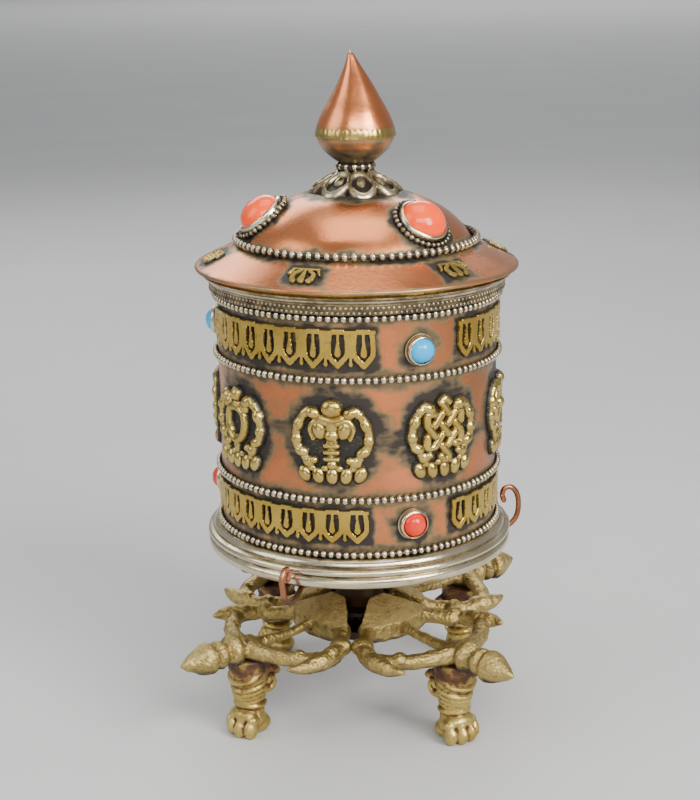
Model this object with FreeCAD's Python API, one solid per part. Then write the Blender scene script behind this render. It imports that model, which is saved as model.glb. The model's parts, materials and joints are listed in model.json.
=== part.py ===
"""Tabletop prayer wheel: a copper drum on a spindle, a lift-off domed lid, and a crossed-vajra stand.

Frame: +Z up, origin on the table under the drum's axis, millimetres.
The front of the stand is the gap between two arms, towards -Y.  Angles named *_AT are degrees
about Z, measured from -Y towards +X.
"""
import math
import os

import FreeCAD
import Part

V = FreeCAD.Vector
Z_AXIS = V(0, 0, 1)

# ---- driving dimensions ---------------------------------------------------------------------
TABLE_Z = 1.8             # the heights below are measured from a level this far under the table top
# stand
LEG_R = 38.0              # axis of each leg
LEG_TOP_R = 5.6
ARM_BOTTOM = 23.5
ARM_TOP = 28.0
ARM_TIP_R = 59.5
POINT_START_R = 50.4
ARM_AXIS_Z = 26.3         # height of the collar and point at the end of an arm
ARM_AT = (45, 135, 225, 315)
ARM_NAMES = ("front_right", "rear_right", "rear_left", "front_left")
TENON_R = 1.8             # peg on top of each leg
TENON_TOP = 26.0
RIVET_R = 1.2
RIVET_TOP = 26.5          # the rivets are blind, and headed under the hub plate
RIVET_AT_R = 8.4
RIVET_HEAD_R = 2.0
HUB_R = 10.6
HUB_BOTTOM = 21.3
NUT_BOTTOM = 18.0
COLUMN_TOP = 46.4
FOOT_R = 10.6             # flange at the foot of the column
WASHER_T = 0.9

# spindle and bearings
SPINDLE_R = 1.6
SPINDLE_TOP = 107.0
RUNNING_GAP = 0.06        # radial clearance of the spindle in its bush
CORE_R = 3.2
CORE_WALL = 0.9
CORE_TOP = 105.5

# drum
WALL_R = 36.5
WALL_T = 0.8
DRUM_BOTTOM = 47.4
FLOOR_Z = 49.6
FLOOR_T = 1.1
DRUM_TOP = 121.4
BEAD_R = 0.95             # wire of the beaded rings
BEAD_SINK = 0.6           # how far a bead's centre stands outside the wall
BEAD_ROWS = {"top": 115.7, "upper": 100.4, "lower": 69.75, "base": 55.5}
ROLL_R = 33.2
ROLL_TOP = 103.0

# drum trim
FRIEZE_T = 0.9
FRIEZE_SPAN = 85.0
FRIEZE_UPPER = (103.0, 113.4)
FRIEZE_LOWER = (58.4, 67.6)
UPPER_STONE_AT = (29.5, 149.5, 269.5)
LOWER_STONE_AT = (26.5, 146.5, 266.5)
UPPER_STONE_Z = 107.2
LOWER_STONE_Z = 62.9
STONE_R = 3.2
STONE_TOP_R = 40.4        # distance of a stone's crown from the drum's axis
BEZEL_R = 3.9
EMBLEM_Z = 85.1
EMBLEM_W = 20.5
EMBLEM_H = 22.0
EMBLEM_T = 2.2
EMBLEM_FIRST_AT = -5.0
EMBLEMS = ("parasol", "knot", "wheel", "banner", "lotus", "conch", "fishes", "vase")
HOOK_AT = (-20, 110, 230)  # soldered on by hand, so not evenly spaced
HOOK_DROOP = (2.3, 0.0, 0.8)  # how far each hook's loop was bent down
HOOK_LOOP = (0.8, 1.0, 1.0)   # size of each hook's loop against the largest
HOOK_RIM_R = 31.5         # the droop starts here
HOOK_WIRE_R = 0.75

# lid
LID_LIP = 121.4           # the lid's collar rests on the drum's rim here
BRIM_R = 42.0
BRIM_Z = 123.2            # top of the brim at its edge
BRIM_SLOPE = 0.49
BRIM_T = 0.8
BRIM_IN_R = 28.8
COLLAR_R = 35.5
COLLAR_T = 0.7
COLLAR_BOTTOM = 113.0
DOME_R = 30.0
DOME_T = 0.7
DOME_CROWN = 141.4
ORNAMENT_FIRST_AT = -15.0
DOME_STONE_AT = (47, 167, 287)
DOME_STONE_R = 5.9
DOME_STONE_TILT = 40.0    # lean of each dome stone from the vertical

# finial
FINIAL_NECK = 146.7
STEM_R = 1.5
CUP_BOTTOM = 149.2
CUP_RIM = 156.2
CUP_R = 10.0
TIP_Z = 176.7


# ---- helpers --------------------------------------------------------------------------------
def at(angle, r, z=0.0):
    """Point at a distance r from the axis, in the direction angle."""
    a = math.radians(angle)
    return V(r * math.sin(a), -r * math.cos(a), z)


def wire_of(points):
    """Closed wire through (x, z) pairs in the XZ plane; a triple (x, z, 'arc') is an arc's middle point."""
    edges = []
    closed = list(points) + [points[0]]
    start = V(closed[0][0], 0, closed[0][1])
    middle = None
    for item in closed[1:]:
        here = V(item[0], 0, item[1])
        if len(item) == 3:
            middle = here
            continue
        if middle is None:
            edges.append(Part.makeLine(start, here))
        else:
            edges.append(Part.Arc(start, middle, here).toShape())
        start, middle = here, None
    return Part.Wire(edges)


def turned(points):
    """Solid of revolution about Z."""
    return Part.Face(wire_of(points)).revolve(V(0, 0, 0), Z_AXIS, 360)


def rod(r, low, high):
    return Part.makeCylinder(r, high - low, V(0, 0, low))


def tube(outer, inner, low, high):
    return rod(outer, low, high).cut(rod(inner, low - 1, high + 1))


def spun(shape, angle):
    """Copy of a shape made at the front (-Y), turned about Z."""
    turned_copy = shape.copy()
    turned_copy.rotate(V(0, 0, 0), Z_AXIS, angle)
    return turned_copy


def around(shape, angles):
    return [spun(shape, angle) for angle in angles]


def save(name, *solids):
    shape = solids[0] if len(solids) == 1 else Part.makeCompound(list(solids))
    if not shape.isValid() or not shape.Solids:
        raise ValueError(f"{name} is not a valid solid")
    lowered = shape.copy()
    lowered.translate(V(0, 0, -TABLE_Z))
    lowered.exportStep(f"parts/{name}.step")


def cap_middle(radius, height):
    """Middle point of the arc from (radius, 0) up to (0, height), on a ball centred on the axis."""
    ball = (radius**2 + height**2) / (2 * height)
    half_angle = math.acos((ball - height) / ball) / 2
    return ball * math.sin(half_angle), height - ball + ball * math.cos(half_angle), "arc"


# ---- stand ----------------------------------------------------------------------------------
def flat_wire(points, z):
    """Closed wire at height z from (distance from axis, sideways) pairs; a triple is an arc's middle."""
    edges = []
    start = V(points[0][1], -points[0][0], z)
    middle = None
    for item in list(points[1:]) + [points[0]]:
        here = V(item[1], -item[0], z)
        if len(item) == 3:
            middle = here
            continue
        if middle is None:
            edges.append(Part.makeLine(start, here))
        else:
            edges.append(Part.Arc(start, middle, here).toShape())
        start, middle = here, None
    return Part.Wire(edges)


def mirrored(points):
    return [(item[0], -item[1]) + tuple(item[2:]) for item in reversed(points)]


def prism(outline, low, high):
    return Part.Face(flat_wire(outline, low)).extrude(V(0, 0, high - low))


def arm():
    """One arm of the crossed vajra, made along -Y: two curved prongs round a middle bar, then a point."""
    side = [(6.5, 2.4), (10.0, 5.2), (15.0, 11.6), (17.2, 15.6, "arc"), (20.4, 18.6),
            (29.0, 21.8, "arc"), (39.0, 19.2), (36.4, 16.2, "arc"), (36.0, 12.6), (37.6, 8.0, "arc"),
            (41.0, 5.0)]
    plate = prism(side + mirrored(side), ARM_BOTTOM, ARM_TOP)
    gap = [(18.2, 1.8), (18.4, 9.8), (20.8, 13.0, "arc"), (25.0, 13.6), (30.6, 10.8, "arc"), (33.2, 4.8),
           (31.4, 1.8)]
    for outline in (gap, mirrored(gap)):
        plate = plate.cut(prism(outline, ARM_BOTTOM - 1, ARM_TOP + 1))
    outward = V(0, -1, 0)
    collars = [Part.makeSphere(r, V(0, -reach, ARM_AXIS_Z)) for r, reach in ((4.4, 43.4), (3.9, 47.8))]
    point = Part.makeCone(4.3, 0.3, ARM_TIP_R - POINT_START_R, V(0, -POINT_START_R, ARM_AXIS_Z), outward)
    neck = Part.makeCylinder(3.0, POINT_START_R - 38.5, V(0, -38.5, ARM_AXIS_Z), outward)
    joined = plate.fuse([neck, point] + collars).removeSplitter()
    leg_seat = rod(LEG_TOP_R + 0.02, ARM_BOTTOM - 12, ARM_BOTTOM)
    leg_seat.translate(V(0, -LEG_R, 0))
    tenon_hole = rod(TENON_R, ARM_BOTTOM - 1, TENON_TOP)
    tenon_hole.translate(V(0, -LEG_R, 0))
    rivet_hole = rod(RIVET_R, ARM_BOTTOM - 1, RIVET_TOP)
    rivet_hole.translate(V(0, -RIVET_AT_R, 0))
    return joined.cut(leg_seat).cut(tenon_hole).cut(rivet_hole)


def leg():
    """Lion's paw leg, made at the front: paw with four toes, ankle rings, knee scroll, tenon."""
    shank = turned([(0, TABLE_Z), (4.6, TABLE_Z), (5.0, 5.1, "arc"), (3.6, 10.5), (4.4, 11.2, "arc"),
                    (3.7, 12.0), (4.2, 12.7, "arc"), (3.8, 13.4), (4.6, 18.0), (LEG_TOP_R, ARM_BOTTOM),
                    (0, ARM_BOTTOM)])
    toe_r = 2.4
    toes = [Part.makeSphere(toe_r, V(s, -forward, TABLE_Z + 2.0)) for s, forward in
            ((-4.0, 2.2), (-1.5, 3.9), (1.5, 3.9), (4.0, 2.2))]
    knee = Part.makeCylinder(3.6, 6.0, V(-3.0, 3.6, 16.0), V(1, 0, 0))
    joined = shank.fuse(toes + [knee]).removeSplitter()
    below = Part.makeBox(40, 40, 10, V(-20, -20, TABLE_Z - 10))
    tenon = rod(TENON_R, ARM_BOTTOM - 1, TENON_TOP)
    whole = joined.cut(below).fuse(tenon).removeSplitter()
    whole.translate(V(0, -LEG_R, 0))
    return whole


def stand():
    for name, angle in zip(ARM_NAMES, ARM_AT):
        save(f"vajra_arm_{name}", spun(arm(), angle))
        save(f"lion_leg_{name}", spun(leg(), angle))

    plate = rod(HUB_R, HUB_BOTTOM, ARM_BOTTOM).cut(rod(SPINDLE_R, 0, 40))
    rivet_shank = rod(RIVET_R, HUB_BOTTOM, RIVET_TOP)
    rivet_head = turned([(0, 0), (RIVET_HEAD_R, 0), cap_middle(RIVET_HEAD_R, 1.2), (0, 1.2)])
    rivet_head.rotate(V(0, 0, 0), V(1, 0, 0), 180)
    rivet_head.translate(V(0, 0, HUB_BOTTOM))
    rivet = rivet_shank.fuse(rivet_head).removeSplitter()
    rivet.translate(V(0, -RIVET_AT_R, 0))
    rivets = around(rivet, ARM_AT)
    for one in rivets:
        plate = plate.cut(one)
    save("hub_plate", plate)
    save("arm_rivets", *rivets)

    foot = ARM_TOP + 0.02
    column = turned([(SPINDLE_R, foot), (FOOT_R, foot), (FOOT_R, 29.0), (7.8, 29.8), (6.8, 31.0),
                     (5.0, 34.0, "arc"), (5.0, 39.0), (5.4, 42.4, "arc"), (8.2, 44.8), (8.2, COLUMN_TOP),
                     (SPINDLE_R, COLUMN_TOP)])
    save("column", column)
    save("thrust_washer", tube(6.4, SPINDLE_R, COLUMN_TOP, COLUMN_TOP + WASHER_T))
    tail = NUT_BOTTOM - 1.4
    spindle = turned([(0, tail), (SPINDLE_R, tail), (SPINDLE_R, SPINDLE_TOP - 2.0), (0, SPINDLE_TOP)])
    save("spindle", spindle)
    corner = [V(3.9 * math.cos(math.radians(60 * k)), 3.9 * math.sin(math.radians(60 * k)), NUT_BOTTOM)
              for k in range(6)]
    nut = Part.Face(Part.makePolygon(corner + [corner[0]])).extrude(V(0, 0, HUB_BOTTOM - NUT_BOTTOM))
    save("spindle_nut", nut.cut(rod(SPINDLE_R, 0, 40)))


# ---- drum -----------------------------------------------------------------------------------
def beaded_wire(z):
    """Wire soldered round the drum wall; its bulge is the beads' outer envelope."""
    half = math.sqrt(BEAD_R**2 - BEAD_SINK**2)
    return turned([(WALL_R, z - half), (WALL_R + BEAD_SINK + BEAD_R, z, "arc"), (WALL_R, z + half)])


def wall_shell(thickness, low, high):
    return tube(WALL_R + thickness, WALL_R, low, high)


def frieze(low, high):
    """Curved, pierced plate centred on the front: six windows under a continuous head rail."""
    plate = wall_shell(FRIEZE_T, low, high)
    wedge = Part.makeCylinder(60, high - low + 2, V(0, 0, low - 1), Z_AXIS, FRIEZE_SPAN)
    wedge.rotate(V(0, 0, 0), Z_AXIS, -90 - FRIEZE_SPAN / 2)
    plate = plate.common(wedge)
    pitch = FRIEZE_SPAN / 6
    for k in range(6):
        window = Part.makeBox(2.2, 10, high - low - 4.0, V(-1.1, -WALL_R - 5, low + 1.6))
        plate = plate.cut(spun(window, (k - 2.5) * pitch))
    return plate


def emblem():
    """Arched cast plaque on the middle band, made at the front."""
    w, h = EMBLEM_W / 2, EMBLEM_H / 2
    low, high = EMBLEM_Z - h, EMBLEM_Z + h
    outline = wire_of([(-0.72 * w, low), (0.72 * w, low), (w, EMBLEM_Z - 0.5 * h), (w, EMBLEM_Z + 0.25 * h),
                       (0.72 * w, high - 0.3 * h), (0, high, "arc"), (-0.72 * w, high - 0.3 * h),
                       (-w, EMBLEM_Z + 0.25 * h), (-w, EMBLEM_Z - 0.5 * h)])
    outline.translate(V(0, -WALL_R - 8, 0))
    block = Part.Face(outline).extrude(V(0, 20, 0))
    return block.common(wall_shell(EMBLEM_T, low - 1, high + 1))


def cabochon(radius, height, root):
    """Part of a ball over z = 0, with a straight-sided root below it."""
    return turned([(0, -root), (radius, -root), (radius, 0), cap_middle(radius, height), (0, height)])


def wall_stone(z):
    """(stone, bezel) on the drum wall at the front."""
    seat = WALL_R + 0.7
    stone = cabochon(STONE_R, STONE_TOP_R - seat, 2.5)
    bezel = tube(BEZEL_R, STONE_R, -2.5, 1.3)
    for shape in (stone, bezel):
        shape.rotate(V(0, 0, 0), V(1, 0, 0), 90)
        shape.translate(V(0, -seat, z))
    wall = rod(WALL_R, z - 20, z + 20)
    return stone.cut(wall), bezel.cut(wall)


def hook(droop, loop):
    """Bent wire finger hook, made at the front: under the floor and the rim, then up and round.

    droop is how far its loop is bent down, and loop is the loop's size.
    """
    floor_z = FLOOR_Z - HOOK_WIRE_R
    bends = [(22.0, floor_z), (27.0, floor_z), (HOOK_RIM_R, floor_z - 0.8), (35.0, 46.4), (38.5, 45.5),
             (42.2, 45.8), (45.0, 48.0), (45.9, 51.4), (45.5, 54.9), (43.9, 57.1), (41.9, 57.1),
             (41.1, 55.4), (41.6, 53.6)]
    path_points = []
    for r, z in bends:
        bent = min(1.0, max(0.0, (r - HOOK_RIM_R) / 6.0))
        clear_of_rim = 0.35 * droop if z > 52.0 else 0.0
        if r > 41.1:
            r = 41.1 + (r - 41.1) * loop
        if z > 45.8 and bent == 1.0:
            z = 45.8 + (z - 45.8) * loop
        path_points.append(V(0, -r - clear_of_rim, z - droop * bent))
    curve = Part.BSplineCurve()
    curve.interpolate(path_points)
    path = Part.Wire([curve.toShape()])
    section = Part.Wire(Part.Circle(V(0, -22.0, floor_z), curve.tangent(0)[0], HOOK_WIRE_R).toShape())
    bent_wire = path.makePipeShell([section], True, False)
    return bent_wire.cut(rod(WALL_R, FLOOR_Z, FLOOR_Z + 3.0))


def drum():
    inner = WALL_R - WALL_T
    floor_top = FLOOR_Z + FLOOR_T
    save("drum_wall", tube(WALL_R, inner, floor_top, DRUM_TOP))
    bush_r = 5.2
    save("drum_floor", tube(WALL_R, bush_r, FLOOR_Z, floor_top))
    bore = SPINDLE_R + RUNNING_GAP
    bush = turned([(bore, FLOOR_Z - 1.7), (7.0, FLOOR_Z - 1.7), (7.0, FLOOR_Z), (bush_r, FLOOR_Z),
                   (bush_r, floor_top), (bore, floor_top)])
    save("floor_bush", bush)
    core_in = CORE_R - CORE_WALL
    save("core_tube", tube(CORE_R, core_in, floor_top, CORE_TOP))
    gap = 0.3
    cap = turned([(core_in, SPINDLE_TOP - 5.0), (core_in, CORE_TOP), (CORE_R + 0.6, CORE_TOP),
                  (CORE_R + 0.6, CORE_TOP + 1.6), (2.0, CORE_TOP + 4.0), (0, CORE_TOP + 4.0),
                  (0, SPINDLE_TOP + gap), (SPINDLE_R + gap, SPINDLE_TOP - 1.7),
                  (SPINDLE_R + gap, SPINDLE_TOP - 5.0)])
    save("pivot_cap", cap)
    save("mantra_roll", tube(ROLL_R, CORE_R, floor_top, ROLL_TOP))
    tie = tube(ROLL_R + 0.5, ROLL_R, 64.0, 68.0)
    upper_tie = tie.copy()
    upper_tie.translate(V(0, 0, 22.0))
    save("roll_ties", tie, upper_tie)

    base = turned([(WALL_R, DRUM_BOTTOM), (39.6, DRUM_BOTTOM), (40.6, 48.9, "arc"), (39.8, 50.4),
                   (39.9, 50.7), (40.7, 51.7, "arc"), (39.5, 52.7), (38.8, 53.8, "arc"), (37.9, 54.5),
                   (WALL_R, 54.5)])
    save("base_moulding", base)
    top = turned([(WALL_R, 116.7), (38.3, 116.7), (38.5, 119.4), (38.9, 120.4, "arc"), (40.2, 120.9),
                  (40.5, DRUM_TOP), (WALL_R, DRUM_TOP)])
    save("top_moulding", top)
    for name, z in BEAD_ROWS.items():
        save(f"bead_wire_{name}", beaded_wire(z))

    for level, band, stones in (("upper", FRIEZE_UPPER, UPPER_STONE_AT),
                                ("lower", FRIEZE_LOWER, LOWER_STONE_AT)):
        plate = frieze(*band)
        for side, angle in zip(("front_left", "right", "rear_left"), stones):
            save(f"frieze_{level}_{side}", spun(plate, angle - 60))
    for k, name in enumerate(EMBLEMS):
        save(f"emblem_{name}", spun(emblem(), EMBLEM_FIRST_AT + 45 * k))
    for name, z, angles in (("turquoise", UPPER_STONE_Z, UPPER_STONE_AT),
                            ("coral", LOWER_STONE_Z, LOWER_STONE_AT)):
        stone, bezel = wall_stone(z)
        save(f"{name}_stones", *around(stone, angles))
        save(f"{name}_bezels", *around(bezel, angles))
    save("finger_hooks", *[spun(hook(droop, loop), angle)
                           for angle, droop, loop in zip(HOOK_AT, HOOK_DROOP, HOOK_LOOP)])


# ---- lid ------------------------------------------------------------------------------------
def brim_top(r):
    return BRIM_Z + (BRIM_R - r) * BRIM_SLOPE


def brim_under(r):
    return brim_top(r) - BRIM_T * math.hypot(1, BRIM_SLOPE)


def lid_shells():
    edge = BRIM_R - 0.35
    brim = turned([(BRIM_IN_R, brim_under(BRIM_IN_R)), (edge, brim_under(edge)),
                   (BRIM_R, (brim_top(edge) + brim_under(edge)) / 2, "arc"), (edge, brim_top(edge)),
                   (BRIM_IN_R, brim_top(BRIM_IN_R))])
    save("lid_brim", brim)
    seat_r = 38.6
    inner = COLLAR_R - COLLAR_T
    collar = turned([(inner, COLLAR_BOTTOM), (COLLAR_R, COLLAR_BOTTOM), (COLLAR_R, LID_LIP),
                     (seat_r, LID_LIP), (seat_r, brim_under(seat_r)), (inner, brim_under(inner))])
    save("lid_collar", collar)
    inside = DOME_R - DOME_T
    dome = turned([(inside, brim_top(inside)), (DOME_R, brim_top(DOME_R)), (23.0, 136.6, "arc"),
                   (12.0, DOME_CROWN), (STEM_R, DOME_CROWN), (STEM_R, DOME_CROWN - DOME_T),
                   (11.8, DOME_CROWN - DOME_T),
                   (22.6, 136.0, "arc")])
    save("lid_dome", dome)
    save("dome_bead_wire", Part.makeTorus(31.2, 1.0, V(0, 0, 129.65)))


def ornament():
    """Small applied scroll plate on the brim, made at the front, lying on the brim's slope."""
    slope = math.degrees(math.atan(BRIM_SLOPE))
    middle_r = 37.0
    plate = Part.makeBox(9.0, 6.0, 0.9, V(-4.5, -3.0, 0))
    slot = Part.makeBox(0.9, 4.0, 3.0, V(-0.45, -2.0, -1.0))
    for shift in (-2.2, 0.6, 2.6):
        moved = slot.copy()
        moved.translate(V(shift, 0, 0))
        plate = plate.cut(moved)
    plate.rotate(V(0, 0, 0), V(1, 0, 0), slope)
    plate.translate(V(0, -middle_r, brim_top(middle_r)))
    return plate


def dome_stone():
    """(stone, bezel, beaded ring) leaning out on the dome at the front."""
    place_r, place_z = 24.5, 135.9
    stone = cabochon(DOME_STONE_R, 4.9, 3.0)
    bezel = tube(DOME_STONE_R + 0.55, DOME_STONE_R, -3.0, 1.5)
    ring = Part.makeTorus(DOME_STONE_R + 1.35, 0.72, V(0, 0, -0.3))
    for shape in (stone, bezel, ring):
        shape.rotate(V(0, 0, 0), V(1, 0, 0), DOME_STONE_TILT)
        shape.translate(V(0, -place_r, place_z))
    filled = turned([(0, 120), (DOME_R, 120), (DOME_R, brim_top(DOME_R)), (23.0, 136.6, "arc"),
                     (12.0, DOME_CROWN), (0, DOME_CROWN)])
    return stone.cut(filled), bezel.cut(filled), ring.cut(filled)


def lid():
    lid_shells()
    save("brim_ornaments", *around(ornament(), [ORNAMENT_FIRST_AT + 60 * k for k in range(6)]))
    for name, shape in zip(("dome_corals", "dome_bezels", "bezel_bead_rings"), dome_stone()):
        save(name, *around(shape, DOME_STONE_AT))

    rosette = turned([(STEM_R, DOME_CROWN), (11.6, DOME_CROWN), (12.8, DOME_CROWN + 0.7, "arc"),
                      (12.0, 143.2), (8.6, 145.8, "arc"), (5.4, FINIAL_NECK), (STEM_R, FINIAL_NECK)])
    notch = rod(1.7, 130, 150)
    notch.translate(V(0, -14.0, 0))
    for angle in range(0, 360, 45):
        rosette = rosette.cut(spun(notch, angle + 37.5))
    save("lotus_rosette", rosette)

    collar = turned([(0, 138.0), (STEM_R, 138.0), (STEM_R, FINIAL_NECK), (4.4, FINIAL_NECK),
                     (5.2, (FINIAL_NECK + CUP_BOTTOM) / 2, "arc"), (4.4, CUP_BOTTOM), (STEM_R, CUP_BOTTOM),
                     (STEM_R, 153.0), (0, 153.0)])
    save("finial_stem", collar)
    nut = tube(3.4, STEM_R, 138.6, DOME_CROWN - DOME_T)
    save("finial_nut", nut)
    wall = 0.8
    cup = turned([(STEM_R, CUP_BOTTOM), (5.3, CUP_BOTTOM), (8.9, 152.3, "arc"), (CUP_R, CUP_RIM),
                  (CUP_R - wall, CUP_RIM), (8.1, 152.7, "arc"), (5.0, CUP_BOTTOM + wall),
                  (STEM_R, CUP_BOTTOM + wall)])
    save("finial_cup", cup)
    cone = turned([(CUP_R, CUP_RIM), (9.4, 159.3, "arc"), (8.2, 161.8), (1.0, 174.9), (0, TIP_Z), (0, 173.4),
                   (0.6, 173.2), (7.5, 161.3), (8.6, 159.0, "arc"), (CUP_R - wall, CUP_RIM)])
    save("finial_cone", cone)
    band = turned([(CUP_R + 0.02, 155.6), (CUP_R + 0.4, 155.8), (CUP_R + 0.4, 156.6), (9.95, 158.3),
                   (9.85, 158.2), (CUP_R + 0.02, CUP_RIM)])
    save("finial_band", band)


os.makedirs("parts", exist_ok=True)
stand()
drum()
lid()
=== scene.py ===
"""Looks of the tabletop prayer wheel: worn copper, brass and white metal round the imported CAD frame.

Lengths are millimetres until mesh_piece() turns them into metres.  Angles round the axis are
degrees from -Y (the front) towards +X, as in the CAD.
"""
import json
import random
from math import atan, cos, degrees, pi, radians, sin, sqrt

import bpy
import numpy as np
from mathutils import Matrix, Vector


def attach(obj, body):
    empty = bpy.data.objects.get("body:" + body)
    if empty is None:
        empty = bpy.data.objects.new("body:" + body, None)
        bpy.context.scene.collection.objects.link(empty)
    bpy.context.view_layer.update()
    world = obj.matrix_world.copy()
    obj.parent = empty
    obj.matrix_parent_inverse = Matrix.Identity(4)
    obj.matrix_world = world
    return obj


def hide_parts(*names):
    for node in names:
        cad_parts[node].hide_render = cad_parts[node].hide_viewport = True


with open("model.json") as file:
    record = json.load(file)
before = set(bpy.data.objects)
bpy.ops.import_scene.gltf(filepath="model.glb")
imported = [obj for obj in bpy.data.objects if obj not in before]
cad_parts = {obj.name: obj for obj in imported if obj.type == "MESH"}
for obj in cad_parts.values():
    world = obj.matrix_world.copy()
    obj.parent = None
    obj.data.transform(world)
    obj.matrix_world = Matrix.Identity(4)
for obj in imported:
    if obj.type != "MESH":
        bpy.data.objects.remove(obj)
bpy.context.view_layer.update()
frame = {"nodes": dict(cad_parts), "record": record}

MM = 0.001
TABLE_Z = 1.8       # as in the CAD, heights are measured from a level this far under the table top
DATUM = np.array([0, 0, TABLE_Z])
random.seed(7)

# ---- dimensions shared with the CAD
WALL_R = 36.5
WALL_T = 0.8
FLOOR_TOP = 50.7
DRUM_TOP = 121.4
BEAD_ROWS = {"top": 115.7, "upper": 100.4, "lower": 69.75, "base": 55.5}
BEAD_R = 0.95
BEAD_CENTRE_R = WALL_R + 0.6
BEAD_PITCH = 1.93
FRIEZE_SPAN = 85.0
FRIEZES = {"upper": (103.0, 113.4, (29.5, 149.5, 269.5)), "lower": (58.4, 67.6, (26.5, 146.5, 266.5))}
FRIEZE_SIDES = ("front_left", "right", "rear_left")
STONE_Z = {"upper": 107.2, "lower": 62.9}
STONE_SEAT_R = WALL_R + 0.7
EMBLEM_Z = 85.1
EMBLEM_FIRST_AT = -5.0
EMBLEM_STEP = 45.0
HOOK_AT = (-20, 110, 230)
HOOK_DROOP = (2.3, 0.0, 0.8)
HOOK_LOOP = (0.8, 1.0, 1.0)
BRIM_R = 42.0
BRIM_Z = 123.2
BRIM_SLOPE = 0.49
BRIM_LEAN = degrees(atan(BRIM_SLOPE))
ORNAMENT_R = 37.0
ORNAMENT_AT = tuple(-15 + 60 * k for k in range(6))
DOME_R = 30.0
DOME_CROWN = 141.4
DOME_STONE_AT = (47, 167, 287)
DOME_STONE_LEAN = 40.0
DOME_STONE_PLACE = (24.5, 135.9)
ARMS = {"front_right": 45, "rear_right": 135, "rear_left": 225, "front_left": 315}
LEG_R = 38.0
LEG_TOP = 23.5


# ---- points and curves
def unit(values):
    return np.clip(values, 0, 1)


def brim_top(r):
    return BRIM_Z + (BRIM_R - r) * BRIM_SLOPE


def smooth_path(points, steps=6):
    """Catmull-Rom curve through the points."""
    p = np.array(points, float)
    out = []
    for i in range(len(p) - 1):
        a, b, c, d = p[max(i - 1, 0)], p[i], p[i + 1], p[min(i + 2, len(p) - 1)]
        for t in np.linspace(0, 1, steps, endpoint=False):
            out.append(0.5 * (2 * b + (c - a) * t + (2 * a - 5 * b + 4 * c - d) * t**2
                              + (3 * b - a - 3 * c + d) * t**3))
    return np.array(out + [p[-1]])


def full_turn(count):
    return np.linspace(0, 2 * pi, count, endpoint=False)


def around(r, turn, z):
    """Points at distance r from the axis and height z, turned from the front by turn radians."""
    return np.column_stack([r * np.sin(turn), -r * np.cos(turn), np.broadcast_to(z, np.shape(turn))])


def off_axis(points):
    return np.hypot(points[:, 0], points[:, 1])


def arc_from(at, points, r):
    """Signed distance of the points from the direction at, along an arc of radius r."""
    angle = np.degrees(np.arctan2(points[:, 0], -points[:, 1]))
    return np.radians((angle - at + 180) % 360 - 180) * r


def rounded(profile, radius, steps=4):
    """Closed (r, z) outline with every corner rounded off by up to radius; corners on the axis stay."""
    p = [np.array(q, float) for q in profile]
    out = []
    for i, here in enumerate(p):
        before, after = p[i - 1], p[(i + 1) % len(p)]
        if here[0] < 1e-6:
            out.append(here)
            continue
        to_before, to_after = before - here, after - here
        reach_b = min(radius, 0.45 * np.linalg.norm(to_before))
        reach_a = min(radius, 0.45 * np.linalg.norm(to_after))
        start = here + to_before / np.linalg.norm(to_before) * reach_b
        end = here + to_after / np.linalg.norm(to_after) * reach_a
        for t in np.linspace(0, 1, steps):
            out.append((1 - t)**2 * start + 2 * t * (1 - t) * here + t**2 * end)
    return np.array(out)


def finely(profile, step):
    """Closed outline with its long sides divided, so that vertex colours have room."""
    out = []
    for a, b in zip(profile, np.roll(profile, -1, axis=0)):
        cuts = max(1, int(np.linalg.norm(b - a) / step))
        out += [a + (b - a) * k / cuts for k in range(cuts)]
    return np.array(out)


def ripple(points, size, seed):
    """Smooth pseudo-random field between about -1 and 1, with features about size mm across."""
    draw = np.random.default_rng(seed)
    total = np.zeros(len(points))
    waves = 9
    for _ in range(waves):
        direction = draw.normal(size=3)
        direction *= draw.uniform(0.6, 1.5) * 2 * pi / size / np.linalg.norm(direction)
        total += np.sin(points @ direction + draw.uniform(0, 2 * pi))
    return total / sqrt(waves)


# ---- meshes
def join(*parts):
    """One (vertices, faces, soil) from several; parts without soil are clean."""
    verts, faces, soil_and_shade, base = [], [], [], 0
    for part in parts:
        verts.append(np.asarray(part[0], float))
        faces += [tuple(i + base for i in face) for face in part[1]]
        soil_and_shade.append(part[2] if len(part) > 2 else np.zeros(len(part[0])))
        base += len(part[0])
    return np.vstack(verts), faces, np.concatenate(soil_and_shade)


def lathe(profile, count):
    """Closed (r, z) outline turned about Z.  Points on the axis become poles."""
    rings, verts = [], []
    for r, z in profile:
        if r < 1e-6:
            rings.append([len(verts)])
            verts.append((0, 0, z))
        else:
            rings.append(list(range(len(verts), len(verts) + count)))
            verts += list(around(r, full_turn(count), z))
    faces = []
    for a, b in zip(rings, rings[1:] + rings[:1]):
        if len(a) == 1 and len(b) == 1:
            continue
        for k in range(count):
            n = (k + 1) % count
            if len(a) == 1:
                faces.append((a[0], b[n], b[k]))
            elif len(b) == 1:
                faces.append((a[k], a[n], b[0]))
            else:
                faces.append((a[k], a[n], b[n], b[k]))
    return np.array(verts), faces


def ball(centre, radii, rows=8, around=14):
    """Ellipsoid with its poles along Z."""
    half = np.linspace(0, pi, rows + 1)
    profile = [(sin(t), -cos(t)) for t in half]
    profile[0], profile[-1] = (0, -1), (0, 1)
    verts, faces = lathe(profile, around)
    return verts * np.array(radii) + np.array(centre), faces


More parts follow.
